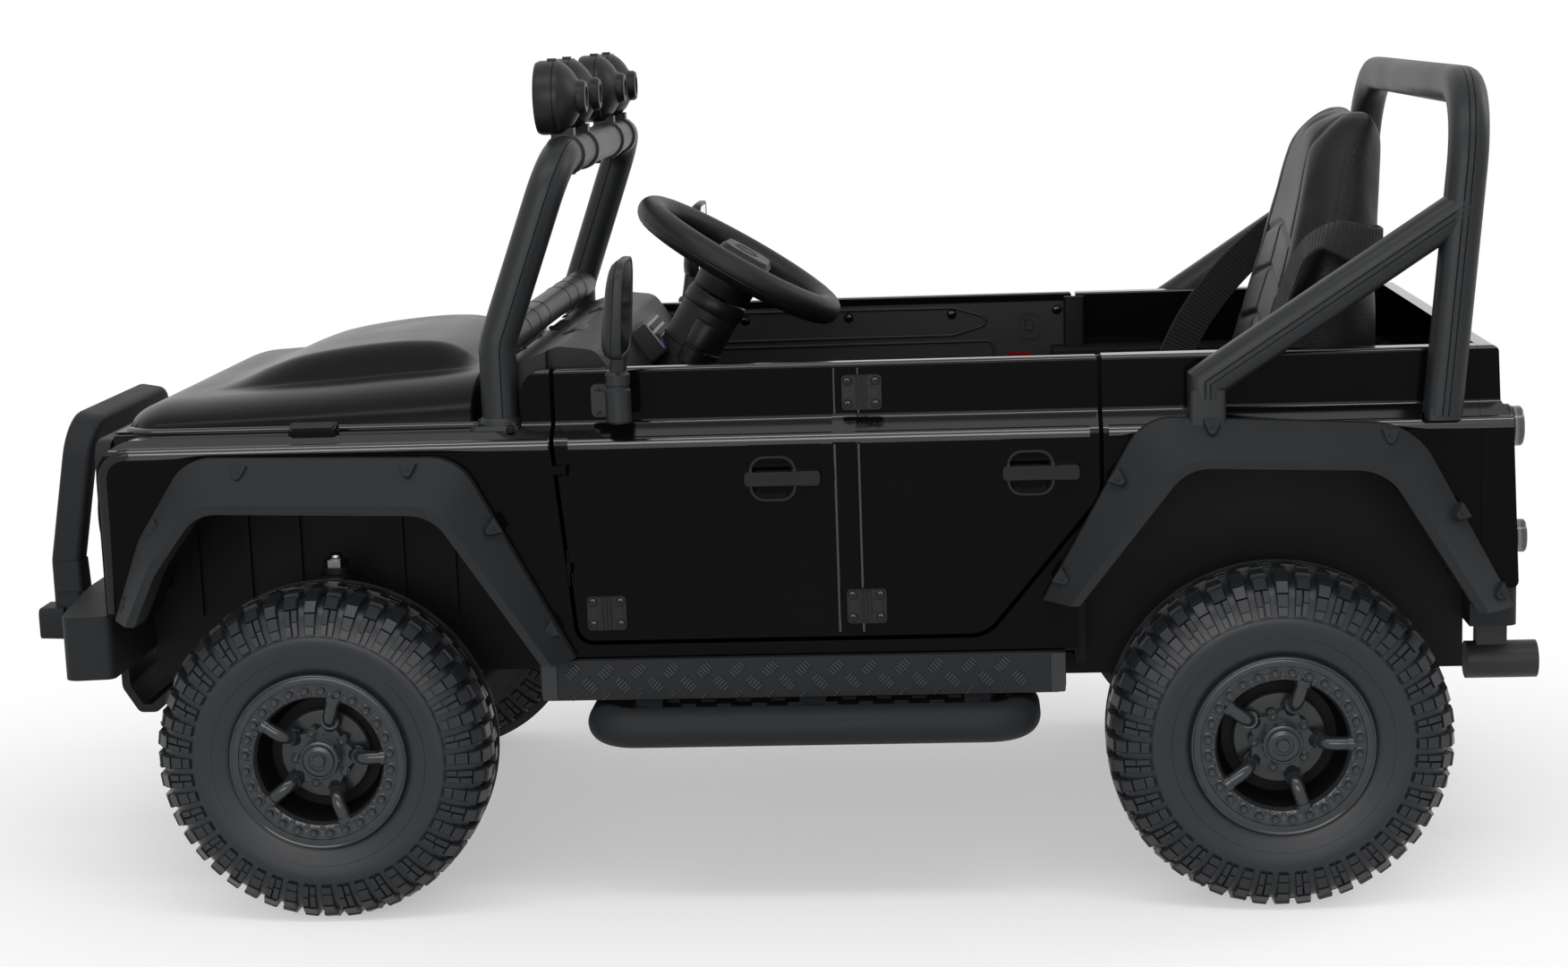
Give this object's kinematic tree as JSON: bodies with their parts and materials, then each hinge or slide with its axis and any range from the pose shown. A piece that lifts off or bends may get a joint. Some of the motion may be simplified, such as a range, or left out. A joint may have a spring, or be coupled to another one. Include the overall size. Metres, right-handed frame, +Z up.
{
  "type": "ride-on toy off-road 4x4",
  "caption": "Battery ride-on toy shaped like an open lifted off-road car: opening doors, roll hoop, roof lamps, bull bar, side steps, working steering and lugged wheels.",
  "frame": {"origin": "on the floor under the centre of the whole object's box", "axes": "+X forward, +Y to the rider's left, +Z up"},
  "size_m": [1.44, 0.8, 0.778],
  "materials": {
    "gloss_black": "gloss painted plastic",
    "satin_black": "satin painted plastic",
    "charcoal": "matte charcoal plastic",
    "chassis_black": "matte black plastic",
    "dash_black": "fine grained black plastic",
    "frame_black": "satin black plastic tube",
    "lamp_black": "satin black plastic",
    "wheel_black": "soft matte black plastic",
    "tyre_black": "satin black moulded tyre",
    "rim_black": "satin dark wheel plastic",
    "leather_black": "black leatherette",
    "steel": "plain steel",
    "pipe_grey": "satin dark grey plastic",
    "lamp_lens": "clear lamp lens",
    "tail_lens": "clear tail lamp lens",
    "battery_case": "battery case"
  },
  "bodies": {
    "chassis": {"battery": "battery_case", "body_side_left": "gloss_black", "body_side_right": "gloss_black", "bonnet": "satin_black", "bull_bar": "charcoal", "dashboard": "dash_black", "exhaust": "pipe_grey", "floor_pan": "chassis_black", "front_axle": "steel", "front_bumper": "charcoal", "front_flare_left": "charcoal", "front_flare_right": "charcoal", "front_inner": "chassis_black", "grille_panel": "charcoal", "headlamps": "lamp_lens", "rear_axle": "steel", "rear_bumper": "charcoal", "rear_flare_left": "charcoal", "rear_flare_right": "charcoal", "rear_inner": "chassis_black", "roll_hoop": "frame_black", "roof_lamps": "lamp_black", "seat_back": "leather_black", "seat_base": "chassis_black", "seat_cushion": "leather_black", "side_step_left": "charcoal", "side_step_right": "charcoal", "skid_plate": "charcoal", "steering_column": "dash_black", "tail_lamps": "tail_lens", "tailgate": "gloss_black", "tread_strips": "charcoal", "windscreen_frame": "frame_black"},
    "door_left": {"door_left": "gloss_black", "door_trim_left": "dash_black", "door_fittings_left": "frame_black", "mirror_left": "lamp_black"},
    "knuckle_left": {"knuckle_left": "steel"},
    "front_wheel_left": {"front_tyre_left": "tyre_black", "front_rim_left": "rim_black"},
    "rear_wheel_left": {"rear_tyre_left": "tyre_black", "rear_rim_left": "rim_black"},
    "door_right": {"door_right": "gloss_black", "door_trim_right": "dash_black", "door_fittings_right": "frame_black", "mirror_right": "lamp_black"},
    "knuckle_right": {"knuckle_right": "steel"},
    "front_wheel_right": {"front_tyre_right": "tyre_black", "front_rim_right": "rim_black"},
    "rear_wheel_right": {"rear_tyre_right": "tyre_black", "rear_rim_right": "rim_black"},
    "steering": {"steering_wheel": "wheel_black"},
    "tie_rod": {"tie_rod": "steel"}
  },
  "joints": [
    {"name": "steering_turn", "type": "hinge", "parent": "chassis", "child": "steering", "pos_m": [0.027, 0, 0.571], "axis": [-0.5195, 0, 0.8545], "range_deg": [-60, 60]},
    {"name": "tie_rod_slide", "type": "slide", "parent": "chassis", "child": "tie_rod", "axis": [0, -1, 0], "range_m": [-0.0183, 0.0183]},
    {"name": "steer_left", "type": "hinge", "parent": "chassis", "child": "knuckle_left", "pos_m": [0.4, 0.225, 0.155], "axis": [0, 0, 1], "range_deg": [-24, 24]},
    {"name": "front_wheel_left_spin", "type": "hinge", "parent": "knuckle_left", "child": "front_wheel_left", "pos_m": [0.4, 0.3005, 0.155], "axis": [0, 1, 0], "continuous": true},
    {"name": "rear_wheel_left_spin", "type": "hinge", "parent": "chassis", "child": "rear_wheel_left", "pos_m": [-0.47, 0.3005, 0.155], "axis": [0, 1, 0], "continuous": true},
    {"name": "door_left_swing", "type": "hinge", "parent": "chassis", "child": "door_left", "pos_m": [0.168, 0.302, 0.37], "axis": [0, 0, -1], "range_deg": [0, 65]},
    {"name": "steer_right", "type": "hinge", "parent": "chassis", "child": "knuckle_right", "pos_m": [0.4, -0.225, 0.155], "axis": [0, 0, 1], "range_deg": [-24, 24]},
    {"name": "front_wheel_right_spin", "type": "hinge", "parent": "knuckle_right", "child": "front_wheel_right", "pos_m": [0.4, -0.3005, 0.155], "axis": [0, 1, 0], "continuous": true},
    {"name": "rear_wheel_right_spin", "type": "hinge", "parent": "chassis", "child": "rear_wheel_right", "pos_m": [-0.47, -0.3005, 0.155], "axis": [0, 1, 0], "continuous": true},
    {"name": "door_right_swing", "type": "hinge", "parent": "chassis", "child": "door_right", "pos_m": [0.168, -0.302, 0.37], "axis": [0, 0, 1], "range_deg": [0, 65]}
  ],
  "couplings": [
    {"joint": "tie_rod_slide", "follows": "steering_turn", "m_per_rad": 0.017475},
    {"joint": "steer_left", "follows": "steering_turn", "ratio": 0.4},
    {"joint": "steer_right", "follows": "steering_turn", "ratio": 0.4}
  ]
}
